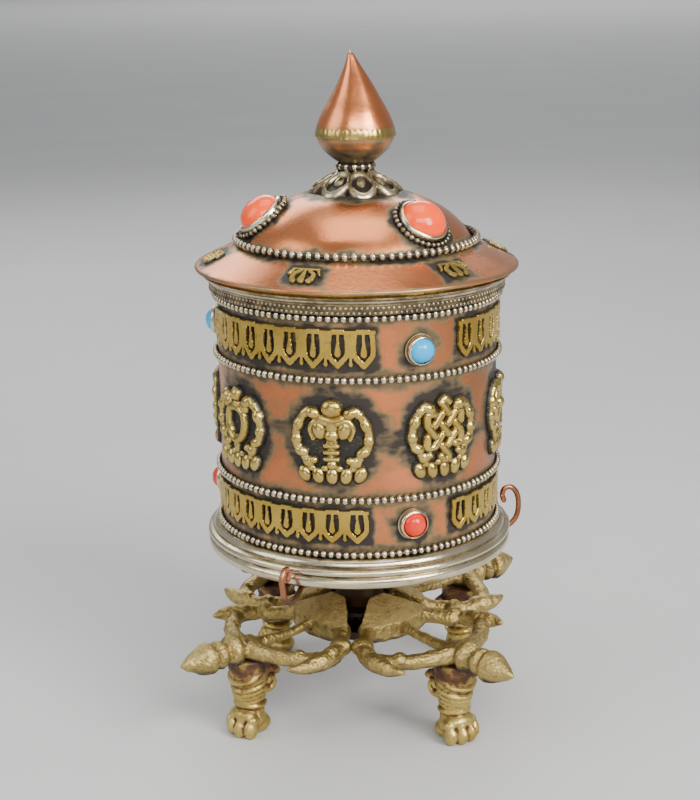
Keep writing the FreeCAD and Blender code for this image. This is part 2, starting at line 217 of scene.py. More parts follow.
def rod(points, radii, sides, closed=False):
    """Round rod along a 3-D path; radii is one number or one per point.  Open ends are domed."""
    p = np.array(points, float)
    size = np.broadcast_to(np.array(radii, float), (len(p),)).copy()
    if closed:
        tangent = np.roll(p, -1, axis=0) - np.roll(p, 1, axis=0)
    else:
        tangent = np.gradient(p, axis=0)
    tangent /= np.linalg.norm(tangent, axis=1)[:, None]
    side = np.cross(tangent[0], (0.31, 0.17, 0.94))
    side /= np.linalg.norm(side)
    verts, rings = [], []

    def ring(centre, a, b, r):
        rings.append(range(len(verts), len(verts) + sides))
        verts.extend(centre + r * (cos(t) * a + sin(t) * b) for t in full_turn(sides))

    frames = []
    for here in tangent:
        side = side - here * np.dot(side, here)
        side /= np.linalg.norm(side)
        frames.append((side.copy(), np.cross(here, side)))
    dome = (0.95, 0.75, 0.4)
    if not closed:
        for k in dome:
            ring(p[0] - tangent[0] * size[0] * k, *frames[0], size[0] * sqrt(1 - k * k))
    for centre, (a, b), r in zip(p, frames, size):
        ring(centre, a, b, r)
    if not closed:
        for k in reversed(dome):
            ring(p[-1] + tangent[-1] * size[-1] * k, *frames[-1], size[-1] * sqrt(1 - k * k))
    faces = []
    pairs = list(zip(rings, rings[1:])) + ([(rings[-1], rings[0])] if closed else [])
    for a, b in pairs:
        for k in range(sides):
            n = (k + 1) % sides
            faces.append((a[k], a[n], b[n], b[k]))
    if not closed:
        faces += [tuple(reversed(rings[0])), tuple(rings[-1])]
    return np.array(verts), faces


def spin(shape, angle):
    """Copy of a shape turned about Z."""
    c, s = cos(radians(angle)), sin(radians(angle))
    return np.asarray(shape[0]) @ np.array([[c, s, 0], [-s, c, 0], [0, 0, 1]]), *shape[1:]


def seated(shape, angle, r, z, lean):
    """Shape made on z = 0 moved to (angle, r, z), its +Z leaning outwards from the vertical by lean."""
    a, n = radians(angle), radians(lean)
    tangent = np.array([cos(a), sin(a), 0])
    normal = np.array([sin(a) * sin(n), -cos(a) * sin(n), cos(n)])
    upward = np.cross(normal, tangent)
    place = np.array([sin(a) * r, -cos(a) * r, z])
    v = np.asarray(shape[0])
    return place + v[:, :1] * tangent + v[:, 1:2] * upward + v[:, 2:] * normal, *shape[1:]


def bead_ring(centre_r, z, bead_r, pitch, core_r):
    """Beaded wire: a core ring painted fully dark as shade in the gaps between the beads, with a bead every
    pitch, clean on its crown and painted dark at its sides and back as shade where it meets its neighbours and
    the wall.
    """
    narrow, tall = 0.93, 1.1
    count = round(2 * pi * centre_r / pitch)
    core = rod(around(centre_r, full_turn(160), z), core_r, 8, closed=True)
    # painted shade: the core is dark all over, standing for the shade in the gaps between the beads
    parts = [(*core, np.ones(len(core[0])))]
    for k in range(count):
        size = bead_r * random.uniform(0.93, 1)
        bead, faces = ball((0, 0, 0), (1, 1, 1))
        # painted shade: dark on each bead's sides, where it meets its neighbours, and on its back towards the
        # wall
        soil_and_shade = np.maximum(unit((np.abs(bead[:, 0]) - 0.62) / 0.3), unit((bead[:, 1] + 0.2) / 0.3))
        place = np.array([0, -centre_r, z + random.uniform(-0.05, 0.05)])
        verts = bead * np.array([size * narrow, size, size * tall]) + place
        parts.append(spin((verts, faces, soil_and_shade), 360 * (k + random.uniform(-0.05, 0.05)) / count))
    return join(*parts)


# ---- reliefs: raised ornament drawn flat in (u, v), then laid on the object
def knob(u, v, ru, rv=None, turn=0, rise=1.5, low=0.45):
    """Rounded boss."""
    rv = rv or ru
    c, s = cos(radians(turn)), sin(radians(turn))

    def distance(x, y):
        a, b = (x - u) * c + (y - v) * s, (y - v) * c - (x - u) * s
        return (np.hypot(a / ru, b / rv) - 1) * min(ru, rv)
    return distance, low, rise, min(ru, rv)


def ribbon(points, w0, w1=None, rise=1.3, low=0.45, steps=5, soft=None):
    """Rounded strand along a smooth path, its half-width going from w0 to w1."""
    path = smooth_path(points, steps) if len(points) > 2 else np.array(points, float)
    widths = np.linspace(w0, w0 if w1 is None else w1, len(path))

    def distance(x, y):
        best = np.full(np.shape(x), 1e9)
        for a, b, wa, wb in zip(path, path[1:], widths, widths[1:]):
            d = b - a
            t = unit(((x - a[0]) * d[0] + (y - a[1]) * d[1]) / max(d @ d, 1e-9))
            best = np.minimum(best, np.hypot(x - a[0] - t * d[0], y - a[1] - t * d[1]) - (wa + (wb - wa) * t))
        return best
    return distance, low, rise, soft or max(w0, w1 or 0)


def slab(u0, u1, v0, v1, height):
    """Flat plate with eased edges."""
    soft = 0.25
    cu, cv, hu, hv = (u0 + u1) / 2, (v0 + v1) / 2, (u1 - u0) / 2, (v1 - v0) / 2

    def distance(x, y):
        dx, dy = np.abs(x - cu) - hu, np.abs(y - cv) - hv
        return np.hypot(np.maximum(dx, 0), np.maximum(dy, 0)) + np.minimum(np.maximum(dx, dy), 0)
    return distance, height - soft, soft, soft


def flipped(element):
    distance, *rest = element
    return (lambda x, y: distance(-x, y), *rest)


def both(*elements):
    return list(elements) + [flipped(e) for e in elements]


def relief(elements, half_u, half_v, cell, place, sink=0, backing=None, murk=(0.2, 0.75)):
    """Closed solid whose outline is the union of the elements, or backing, and whose top is their relief.

    murk is the height below which it is dark and the height above which it is clean.
    """
    def outline(x, y):
        if backing is not None:
            return backing[0](x, y)
        return np.minimum.reduce([e[0](x, y) for e in elements])

    def height(x, y):
        top = np.zeros(np.shape(x)) + (backing[1] if backing is not None else 0)
        for distance, low, rise, soft in elements:
            depth = unit(-distance(x, y) / soft)
            dome = low + rise * np.sqrt(1 - (1 - depth)**2)
            top = np.where(depth > 0, np.maximum(top, dome), top)
        return np.maximum(top, 0.15)

    nu, nv = int(2 * half_u / cell), int(2 * half_v / cell)
    us, vs = np.linspace(-half_u, half_u, nu + 1), np.linspace(-half_v, half_v, nv + 1)
    gu, gv = np.meshgrid(us, vs, indexing="ij")
    mid_u, mid_v = np.meshgrid((us[1:] + us[:-1]) / 2, (vs[1:] + vs[:-1]) / 2, indexing="ij")
    kept = outline(mid_u, mid_v) < 0
    index = np.full(gu.shape, -1)
    corner = np.zeros(gu.shape, int)
    for du in (0, 1):
        for dv in (0, 1):
            corner[du:nu + du, dv:nv + dv] += kept
    used = corner > 0
    index[used] = np.arange(used.sum())
    x, y = gu[used], gv[used]
    edge = corner[used] < 4
    for _ in range(3):
        d = outline(x, y)
        e = cell * 0.2
        slope_u, slope_v = (outline(x + e, y) - d) / e, (outline(x, y + e) - d) / e
        steep = np.maximum(slope_u**2 + slope_v**2, 0.2)
        move_u = np.clip(-d * slope_u / steep, -0.6 * cell, 0.6 * cell)
        move_v = np.clip(-d * slope_v / steep, -0.6 * cell, 0.6 * cell)
        x, y = np.where(edge, x + move_u, x), np.where(edge, y + move_v, y)
    count = len(x)
    tall = height(x, y)
    verts = np.vstack([place(x, y, tall), place(x, y, np.full(count, -sink))])
    soil_and_shade = np.concatenate([unit((murk[1] - tall) / (murk[1] - murk[0])), np.ones(count)])
    iu, iv = np.nonzero(kept)
    a, b = index[iu, iv], index[iu + 1, iv]
    c, d = index[iu + 1, iv + 1], index[iu, iv + 1]
    top = np.column_stack([a, b, c, d])
    bottom = np.column_stack([d, c, b, a]) + count
    padded = np.pad(kept, 1)
    walls = []
    for start, end, near in ((a, b, padded[iu + 1, iv]), (b, c, padded[iu + 2, iv + 1]),
                             (c, d, padded[iu + 1, iv + 2]), (d, a, padded[iu, iv + 1])):
        open_side = ~near
        s, t = start[open_side], end[open_side]
        walls.append(np.column_stack([s, s + count, t + count, t]))
    faces = np.vstack([top, bottom] + walls)
    return verts, [tuple(f) for f in faces.tolist()], soil_and_shade


def on_wall(angle, z):
    """Lays (u, v, height) on the drum wall round a point."""
    def place(u, v, h):
        return around(WALL_R + h, radians(angle) + u / WALL_R, z + v)
    return place


def on_brim(angle):
    lean = radians(BRIM_LEAN)

    def place(u, v, h):
        r = ORNAMENT_R - v * cos(lean) + h * sin(lean)
        z = brim_top(ORNAMENT_R) + v * sin(lean) + h * cos(lean)
        return around(r, radians(angle) + u / ORNAMENT_R, z)
    return place


# ---- materials
class Shader:
    """A node material under construction.  In inputs, an underscore stands for a space."""

    def __init__(self, name):
        self.material = bpy.data.materials.new(name)
        self.material.use_nodes = True
        self.tree = self.material.node_tree
        self.surface = self.tree.nodes["Principled BSDF"]
        self.place = self.node("TexCoord").outputs["Object"]

    def feed(self, socket, value):
        """Links another node's output to a socket, or sets the socket to a number or colour."""
        if isinstance(value, bpy.types.NodeSocket):
            self.tree.links.new(value, socket)
        else:
            socket.default_value = (*value, 1) if isinstance(value, tuple) else value

    def node(self, kind, **inputs):
        node = self.tree.nodes.new("ShaderNode" + kind)
        for name, value in inputs.items():
            self.feed(node.inputs[name.replace("_", " ")], value)
        return node

    def paint(self, **inputs):
        """Feeds the inputs of the surface shader."""
        for name, value in inputs.items():
            self.feed(self.surface.inputs[name.replace("_", " ")], value)

    def noise(self, per_metre, detail=3, stretch=None):
        source = self.place
        if stretch:
            mapping = self.node("Mapping", Vector=source)
            mapping.inputs["Scale"].default_value = stretch
            source = mapping.outputs["Vector"]
        return self.node("TexNoise", Vector=source, Scale=per_metre, Detail=detail).outputs["Fac"]

    def ramp(self, source, low, high, a=0, b=1):
        node = self.node("MapRange", Value=source, From_Min=low, From_Max=high, To_Min=a, To_Max=b)
        return node.outputs["Result"]

    def math(self, operation, a, b):
        node = self.node("Math")
        node.operation = operation
        node.use_clamp = operation == "ADD"
        self.feed(node.inputs[0], a)
        self.feed(node.inputs[1], b)
        return node.outputs[0]

    def mix(self, factor, a, b):
        node = self.node("Mix", Factor=factor)
        node.data_type = "RGBA"
        for key, value in (("A", a), ("B", b)):
            self.feed([i for i in node.inputs if i.name == key and i.type == "RGBA"][0], value)
        return [o for o in node.outputs if o.type == "RGBA"][0]

    def attribute(self, name):
        node = self.node("Attribute")
        node.attribute_name = name
        return node.outputs["Fac"]

    def bump(self, source, distance_mm, under=None):
        """Fine relief, on top of the relief under it."""
        node = self.node("Bump", Height=source, Strength=1, Distance=distance_mm * MM)
        if under is not None:
            self.feed(node.inputs["Normal"], under)
        self.paint(Normal=node.outputs["Normal"])
        return node.outputs["Normal"]


def metal(name, tone, second, stain, dark, rough, drift=45, grain=0.05, grain_size=900, age=0.35, scratch=0,
          body=1, lit_filed_top=None):
    """Worn metal.  tone drifts to second; the mesh's attribute of grime and painted shade stains it, then
    covers it in dark: patina where it marks grime, painted shade where it stands for shade.

    The last argument is the painted-light colour of the tops that the mesh's attribute of that name marks:
    lighter and less metallic where the front light falls on them, and rougher as metal worked with a file.
    """
    s = Shader(name)
    drifted = s.mix(s.ramp(s.noise(drift, 4), 0.38, 0.66), tone, second)
    speckle = s.noise(drift * 7, 5)
    soiled_and_shaded = s.math("ADD", s.attribute("dirt_and_shade"), s.ramp(speckle, 0.54, 0.8, 0, age))
    rubbed = s.math("MULTIPLY", s.ramp(s.noise(drift * 3, 6), 0.3, 0.62, 0.7, 1.25),
                    s.ramp(s.noise(drift * 9, 5, (1, 1, 3)), 0.3, 0.62, 0.72, 1.2))
    broken = s.math("MULTIPLY", soiled_and_shaded, rubbed)
    stained = s.mix(s.ramp(broken, 0.05, 0.5), drifted, stain)
    colour = s.mix(s.ramp(broken, 0.4, 0.95), stained, dark)
    metallic = s.ramp(broken, 0.2, 1, body, 0.25)
    patchy = s.ramp(s.noise(drift * 2.2, 3), 0.3, 0.7, rough - 0.06, rough + 0.08)
    roughness = s.math("ADD", patchy, s.ramp(broken, 0, 1, 0, 0.25))
    # painted light: a lighter, less metallic colour on the marked tops stands for the front light falling on
    # them; the added roughness is their file finish
    if lit_filed_top:
        mark = s.attribute("lit_filed_top")
        strokes = s.ramp(s.noise(drift * 9, 5, (1, 0.25, 1)), 0.36, 0.62, 0.25, 1)
        colour = s.mix(s.math("MULTIPLY", mark, strokes), colour, lit_filed_top)
        metallic = s.math("MULTIPLY", metallic, s.ramp(mark, 0, 1, 1, 0.5))
        roughness = s.math("ADD", roughness, s.ramp(mark, 0, 1, 0, 0.2))
    s.paint(Base_Color=colour, Metallic=metallic, Roughness=roughness)
    fine = s.bump(s.noise(grain_size, 4), grain)
    if scratch:
        s.bump(s.noise(700, 2, (1, 1, 0.08)), scratch, fine)
    return s.material


def stone(name, tone, second, vein):
    s = Shader(name)
    base = s.mix(s.ramp(s.noise(130), 0.35, 0.65), tone, second)
    veined = s.mix(s.ramp(s.noise(160, 6), 0.62, 0.72, 0, 0.55), base, vein)
    s.paint(Base_Color=veined, Roughness=0.16, Specular_IOR_Level=0.35, Coat_Weight=0.2, Coat_Roughness=0.08,
            Subsurface_Weight=0.06, Subsurface_Scale=1.5 * MM)
    s.bump(s.noise(500), 0.02)
    return s.material


def paper():
    s = Shader("rolled_paper")
    split = s.node("SeparateXYZ", Vector=s.place).outputs
    across = s.node("CombineXYZ", X=split["X"], Y=split["Y"])
    radius = s.node("VectorMath")
    radius.operation = "LENGTH"
    s.feed(radius.inputs[0], across.outputs[0])
    layer = s.math("SINE", s.math("MULTIPLY_ADD", radius.outputs["Value"], 2 * pi / (0.7 * MM)), 0)
    shade = s.math("MULTIPLY", s.ramp(layer, -1, 1, 0, 0.6), s.ramp(s.noise(300), 0.3, 0.7, 0.5, 1))
    s.paint(Base_Color=s.mix(shade, (0.8, 0.72, 0.56), (0.52, 0.43, 0.29)), Roughness=0.85)
    s.bump(layer, 0.08)
    return s.material


def tape():
    s = Shader("cotton_tape")
    weave = s.ramp(s.noise(900, 2, (1, 1, 4)), 0.35, 0.65)
    s.paint(Base_Color=s.mix(weave, (0.75, 0.52, 0.12), (0.6, 0.38, 0.07)), Roughness=0.9)
    s.bump(s.noise(2500, 2), 0.06)
    return s.material


BLACKENED = (0.022, 0.016, 0.012)
MATERIALS = {
    "copper": metal("copper", (0.84, 0.285, 0.108), (0.7, 0.235, 0.088), (0.25, 0.185, 0.095), BLACKENED,
                    0.25, 30, 0.03, scratch=0.012, age=0.12),
    "wall_copper": metal("wall_copper", (0.7, 0.235, 0.095), (0.42, 0.14, 0.058), (0.23, 0.165, 0.085),
                         BLACKENED, 0.25, 24, 0.03, scratch=0.012, age=0.16),
    "copper_wire": metal("copper_wire", (0.4, 0.155, 0.08), (0.28, 0.11, 0.06), (0.16, 0.08, 0.045),
                         (0.04, 0.025, 0.02), 0.3),
    "brass": metal("sheet_brass", (0.57, 0.39, 0.085), (0.43, 0.275, 0.045), (0.18, 0.135, 0.05),
                   (0.015, 0.012, 0.009), 0.27, 80, 0.04),
    "relief_brass": metal("relief_brass", (0.62, 0.46, 0.14), (0.48, 0.34, 0.09), (0.2, 0.155, 0.06),
                          (0.014, 0.011, 0.009), 0.22, 90, 0.03, age=0.3),
    # cast_brass's last colour is painted light, for the tops of the arm blocks where the front light falls
    "cast_brass": metal("cast_brass", (0.47, 0.35, 0.125), (0.32, 0.235, 0.08), (0.15, 0.11, 0.045),
                        (0.03, 0.021, 0.012), 0.42, 70, 0.5, 1100, age=0.55, body=0.95,
                        lit_filed_top=(0.5, 0.37, 0.15)),
    "leg_brass": metal("leg_brass", (0.58, 0.44, 0.13), (0.42, 0.3, 0.08), (0.16, 0.075, 0.03),
                       (0.045, 0.018, 0.012), 0.36, 120, 0.1, 1200, age=0.45, body=0.9),
    "dark_bronze": metal("dark_bronze", (0.05, 0.035, 0.025), (0.07, 0.045, 0.03), (0.035, 0.025, 0.02),
                         (0.018, 0.014, 0.012), 0.5),
    "white_metal": metal("white_metal", (0.74, 0.66, 0.48), (0.6, 0.51, 0.33), (0.22, 0.16, 0.07),
                         (0.018, 0.013, 0.009), 0.2, 60, 0.02, age=0.25),
    "steel": metal("steel", (0.42, 0.42, 0.43), (0.34, 0.34, 0.35), (0.2, 0.17, 0.14), (0.08, 0.06, 0.05),
                   0.32),
    "turquoise": stone("turquoise", (0, 0.36, 0.8), (0.01, 0.45, 0.8), (0.01, 0.22, 0.38)),
    "red_coral": stone("red_coral", (0.7, 0.016, 0.004), (0.78, 0.032, 0.008), (0.42, 0.01, 0.004)),
    "orange_coral": stone("orange_coral", (1, 0.075, 0), (1, 0.105, 0.008), (0.92, 0.19, 0.05)),
    "paper": paper(),
    "cotton_tape": tape(),
}


# ---- from vertices to pieces on the object
def new_object(name, data):
    made = bpy.data.objects.new(name, data)
    bpy.context.scene.collection.objects.link(made)
    return made


def new_mesh(name, verts, faces):
    mesh = bpy.data.meshes.new(name)
    mesh.from_pydata(((np.asarray(verts) - DATUM) * MM).tolist(), [], faces)
    mesh.update()
    return mesh


def read_vectors(data, key):
    values = np.empty(len(data) * 3)
    data.foreach_get(key, values)
    return values.reshape(-1, 3)


def places_and_normals(mesh):
    """Vertices in mm from the table top, and their normals."""
    return read_vectors(mesh.vertices, "co") / MM, read_vectors(mesh.vertex_normals, "vector")


def write_attribute(mesh, name, values):
    layer = mesh.attributes.new(name, "FLOAT", "POINT")
    layer.data.foreach_set("value", unit(values).astype(np.float32))


def recesses(mesh, rounds, full_depth):
    """0 on raised places to 1 where the surface lies full_depth mm below its smoothed surroundings."""
    count = len(mesh.vertices)
    co, normal = places_and_normals(mesh)
    edges = np.empty(len(mesh.edges) * 2, int)
    mesh.edges.foreach_get("vertices", edges)
    a, b = edges.reshape(-1, 2).T
    degree = np.maximum(np.bincount(a, minlength=count) + np.bincount(b, minlength=count), 1)
    flat = co.copy()
    for _ in range(rounds):
        for axis in range(3):
            total = np.bincount(a, flat[b, axis], count) + np.bincount(b, flat[a, axis], count)
            flat[:, axis] = 0.3 * flat[:, axis] + 0.7 * total / degree
    return np.clip(((flat - co) * normal).sum(axis=1) / full_depth, -1, 1)


def mesh_piece(name, shape, body, material, replaces, dirt_and_shade=None, recess=None):
    """Object from (vertices, faces).  dirt is a function of the vertices, recess is (rounds, depth, gain)."""
    verts, faces, *soil_and_shade = shape
    return finish_piece(name, new_mesh(name, verts, faces), body, material, replaces, dirt_and_shade, recess, 48, *soil_and_shade)


def finish_piece(name, mesh, body, material, replaces, dirt_and_shade, recess, sharp, soil_and_shade=0):
    mesh.polygons.foreach_set("use_smooth", [True] * len(mesh.polygons))
    mesh.set_sharp_from_angle(angle=radians(sharp))
    soil_and_shade = np.zeros(len(mesh.vertices)) + soil_and_shade
    if dirt_and_shade is not None:
        soil_and_shade = np.maximum(soil_and_shade, dirt_and_shade(read_vectors(mesh.vertices, "co") / MM + DATUM))
    if recess is not None:
        rounds, depth, gain = recess
        soil_and_shade = np.maximum(soil_and_shade, recesses(mesh, rounds, depth) * gain)
    # the attribute holds grime and patina together with painted shade
    write_attribute(mesh, "dirt_and_shade", soil_and_shade)
    obj = new_object(name, mesh)
    mesh.materials.append(MATERIALS[material])
    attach(obj, body)
    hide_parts(*replaces)
    return obj


def cast(name, parts, voxel, body, material, replaces, grain, dirt_and_shade, recess, seed):
    """Overlapping closed shapes melted into one casting, with a rough skin."""
    verts, faces, _ = join(*parts)
    rough = new_mesh(name + "_rough", verts, faces)
    source = new_object(name + "_rough", rough)
    melt = source.modifiers.new("melt", "REMESH")
    melt.mode = "VOXEL"
    melt.voxel_size = voxel * MM
    ease = source.modifiers.new("ease", "SMOOTH")
    ease.factor = 0.5
    ease.iterations = 5
    made = source.evaluated_get(bpy.context.evaluated_depsgraph_get())
    mesh = bpy.data.meshes.new_from_object(made)
    bpy.data.objects.remove(source)
    bpy.data.meshes.remove(rough)
    mesh.name = name
    co, normal = places_and_normals(mesh)
    lumps = ripple(co, 3.4, seed) + 0.6 * ripple(co, 1.3, seed + 50)
    co += normal * (grain * lumps)[:, None]
    co[:, 2] = np.maximum(co[:, 2], 0)
    mesh.vertices.foreach_set("co", (co * MM).ravel())
    mesh.update()
    return finish_piece(name, mesh, body, material, replaces, dirt_and_shade, recess, 70)


# ---- emblems
def emblem_surround():
    """Lotus seat and two lumpy curling tendrils that every emblem shares."""
    seat = [knob(3.45 * k, -9 + 0.1 * k * k, 1.6, 2.25, -12 * k, 1.35) for k in range(-2, 3)]
    seat += [knob(3.45 * k, -7, 1.15, 0.95, 0, 1) for k in (-1.5, -0.5, 0.5, 1.5)]
    tendril = [ribbon([(3.9, 7.2), (5.6, 7.7), (7.2, 6.1), (8.6, 3.4), (9, 0.4), (8.4, -2), (6.9, -3.2)],
                      1.15, 1.25, 1.2),
               ribbon([(7.4, -2.6), (6.6, -4.6), (5.4, -5.8), (4.3, -5)], 1.2, 0.95, 1.1),
               knob(4.6, 7.1, 2.1, 1.6, 25, 1.8), knob(6.7, 6.7, 1.4, 1.3, -35, 1.4),
               knob(8.3, 3.9, 1.5, 2.2, 22, 1.7), knob(8.9, 0.1, 1.5, 1.8, -8, 1.6),
               knob(7.6, -2.9, 2, 1.45, 25, 1.6), knob(5.8, -5.4, 1.6, 1.6, -20, 1.35),
               knob(4.4, -4.9, 1.2, 1.1, 0, 1.5)]
    return seat + both(*tendril)


def parasol():
    rings = [ribbon([(-1.5, v), (1.5, v)], 0.62, rise=0.8, low=1.2) for v in (-1, -2.7, -4.4)]
    return ([knob(0, 8.3, 2.7, 2.4, 0, 2), ribbon([(-2.4, 5.9), (0, 5.4), (2.4, 5.9)], 1, rise=1.5),
             ribbon([(0, 4.6), (0, -5.8)], 1.8, 1.3, 1.2), knob(0, 1.4, 1.9, 1.6, 0, 1.8), knob(0, -6, 1.4)]
            + rings
            + both(knob(3.1, 2.9, 1.8, 2.7, -12, 1.7),
                   ribbon([(1.4, 4.6), (3.8, 5.2), (5.3, 3.2), (4.5, 0.6)], 0.95, 0.75)))


def knot():
    """Endless knot: three strands each way laid over and under each other, joined by loops at their ends."""
    pitch, half_w, gap, middle, tall = 2.8, 1.12, 0.22, 1.3, 1.36
    weave = []
    reach = 1.55 * pitch
    for sign in (1, -1):
        along = np.array([1, sign]) / sqrt(2)
        across = np.array([-sign, 1]) / sqrt(2)

        def strand(points, rise):
            return ribbon([tuple((across * o + along * t) * (1, tall) + (0, middle)) for o, t in points],
                half_w, rise=rise, low=0.6)
        for k in (-1, 0, 1):
            for j in (-2, -1, 0, 1, 2):
                if (j + k + (sign > 0)) % 2 == 0:
                    start = max((j - 1) * pitch + half_w + gap, -reach)
                    end = min((j + 1) * pitch - half_w - gap, reach)
                    if end - start > 0.5:
                        weave.append(strand([(k * pitch, start), (k * pitch, end)], 1.5))
        for end, first in ((1, -1), (-1, 0)) if sign > 0 else ((1, 0), (-1, -1)):
            weave.append(strand([(first * pitch, end * reach), ((first + 0.5) * pitch, end * (reach + 1.3)),
                                 ((first + 1) * pitch, end * reach)], 1.4))
    side, high = 0.55 * pitch / sqrt(2), tall * 2.55 * pitch / sqrt(2)
    for end in (1, -1):
        weave.append(ribbon([(-side, middle + end * high), (0, middle + end * (high + 1)),
            (side, middle + end * high)], half_w, rise=1.4, low=0.6))
    return weave


def wheel():
    parts = [ribbon([(6 * sin(t), 1.6 + 6 * cos(t)) for t in np.linspace(0, 2 * pi, 17)], 1,
                    rise=1.3, steps=2), knob(0, 1.6, 1.9, rise=2)]
    for k in range(8):
        t = radians(45 * k)
        arm = [(r * sin(t), 1.6 + r * cos(t)) for r in (1.5, 5.6)]
        parts += [ribbon(arm, 0.6, 0.75, 1), knob(7 * sin(t), 1.6 + 7 * cos(t), 0.95)]
    return parts


def banner():
    tiers = [ribbon([(-w, v), (0, v - 0.7), (w, v)], 1.05, rise=1.5)
             for w, v in ((2.6, 5.4), (3.4, 2.6), (3, -0.2))]
    return (tiers + [knob(0, 8.4, 1.7, 1.9, 0, 1.8), knob(0, -6, 1.3), ribbon([(0, 6.5), (0, -5.5)], 1.2, 0.9)]
            + both(ribbon([(3, 5), (4.6, 2.4), (3.8, -1), (4.4, -3.2)], 0.8, 0.5)))


def lotus():
    parts = [knob(0, -0.6, 1.9, 1.6, 0, 2)]
    for k in range(-3, 4):
        t = radians(34 * k)
        parts.append(knob(4.6 * sin(t), 0.2 + 5 * cos(t), 1.35, 3.3, -34 * k, 1.5))
    return parts + [ribbon([(0, -2), (0.5, -4), (0, -6)], 0.9, 0.7)]


def conch():
    turns = np.linspace(0, 3.6 * pi, 22)
    parts = [knob(0.6 + (6.6 - 0.48 * t) * 0.62 * sin(t), 1.5 + (6.6 - 0.48 * t) * 0.8 * cos(t),
                  2 - 0.12 * t, rise=1.3 + 0.05 * t) for t in turns]
    return parts + [ribbon([(2.6, -1.5), (1, -4), (-0.4, -6)], 1.5, 0.8)]


def fishes():
    body = ribbon([(1, 7.6), (3.6, 5.6), (3.9, 2.2), (2.4, -0.6), (1.2, -3.4), (2.4, -5.4)], 1.7, 0.8, 1.6)
    return both(body, knob(1.5, 7.4, 1.7, 1.4, 30, 1.8), ribbon([(4.6, 3.4), (5.6, 2)], 0.8, 0.5),
                ribbon([(2.2, -4.6), (3.4, -6.2)], 0.9, 0.6))


def vase():
    hoop = [(0, 5), (2.9, 4), (3.6, 0.9), (2.6, -2.2), (0, -3.8), (-2.6, -2.2), (-3.6, 0.9), (-2.9, 4),
        (0, 5)]
    return [ribbon(hoop, 1.15, rise=1.6, steps=3), knob(0, 8.3, 1.9, 1.9, 0, 1.9), knob(0, 5.9, 1.5, 1),
            ribbon([(0, -3.6), (0, -6.2)], 1.6, 1.1)] + both(knob(3.6, 5.6, 1.5, 1.9, 35, 1.7))


EMBLEMS = {"parasol": parasol, "knot": knot, "wheel": wheel, "banner": banner, "lotus": lotus, "conch": conch,
           "fishes": fishes, "vase": vase}


def emblems():
    back = (lambda x, y: (np.hypot(x / 9.9, (y + 0.3) / 10.9) - 1) * 9.9, 0.35)
    for k, (name, motif) in enumerate(EMBLEMS.items()):
        drawn = emblem_surround() + motif()
        silhouette = [e[0] for e in drawn]

        def outline(x, y, shapes=silhouette):
            solid = np.minimum.reduce([f(x, y) for f in shapes])
            return np.minimum(solid - 0.25, back[0](x, y) + 1.9)
        place = on_wall(EMBLEM_FIRST_AT + EMBLEM_STEP * k, EMBLEM_Z)
        shape = relief(drawn, 11, 11.6, 0.16, place, backing=(outline, back[1]), murk=(0.75, 1.25))
        mesh_piece(f"relief_{name}", shape, "drum", "relief_brass", [f"emblem_{name}"], recess=(20, 0.34, 1))


# ---- friezes
def frieze_drawing(half_u, half_v):
    """Lotus-petal border hanging from a stepped head rail, cut out of sheet by hand."""
    sheet, top = 0.9, half_v - 0.1
    parts = [slab(-half_u, half_u, top - 1.45, top - 0.25, sheet)]
    tall = 2 * half_v / 10.4
    units = 9
    cell = 2 * half_u / units
    draw = np.random.default_rng(41)

    def strand(points, centre, w0, w1):
        return ribbon([(centre + u, v * tall) for u, v in points], w0, w1, 0.2, sheet - 0.2, 4, 0.2)
    for k in range(units):
        centre = -half_u + cell * (k + 0.5)
        wide = cell / 2 - 0.78 + draw.uniform(-0.1, 0.1)
        deep, lean = draw.uniform(-0.2, 0.2), draw.uniform(-0.2, 0.2)
        for side in (-1, 1):
            parts.append(strand([(side * wide * 0.86, 4), (side * wide, 0.6),
                (side * wide * 0.86 + lean * 0.5, -1.8), (lean, -4.1 + deep)], centre, 0.68, 0.78))
        parts.append(strand([(0, 4), (lean * 0.5, 1.2)], centre, 0.42, 0.42))
        parts.append(strand([(lean * 0.5, 1.6), (lean * 0.8, -1.2 + deep)], centre, 0.48, 0.9))
        parts.append(slab(centre - 1.7, centre + 1.5, top - 0.5, top, sheet))
        if k:
            edge = centre - cell / 2
            parts.append(strand([(0, -3.7), (0, -2.6)], edge, 0.62, 0.42))
            parts.append(strand([(0, -2.8), (0, 3.8)], edge, 0.42, 0.42))
    return parts


def friezes():
    for level, (low, high, stones) in FRIEZES.items():
        half_v = (high - low) / 2
        half_u = radians(FRIEZE_SPAN) * WALL_R / 2
        drawing = frieze_drawing(half_u, half_v)
        for side, stone_at in zip(FRIEZE_SIDES, stones):
            place = on_wall(stone_at - 60, (low + high) / 2)
            shape = relief(drawing, half_u + 0.6, half_v + 0.5, 0.15, place)
            mesh_piece(f"scrollwork_{level}_{side}", shape, "drum", "brass", [f"frieze_{level}_{side}"])


# ---- drum
def ragged_fade(ragged):
    """Soil that is 1 at distance 0 and nothing at width, with a ragged edge."""
    return lambda distance, width: unit(1 - (distance + ragged * width * 0.25) / width)


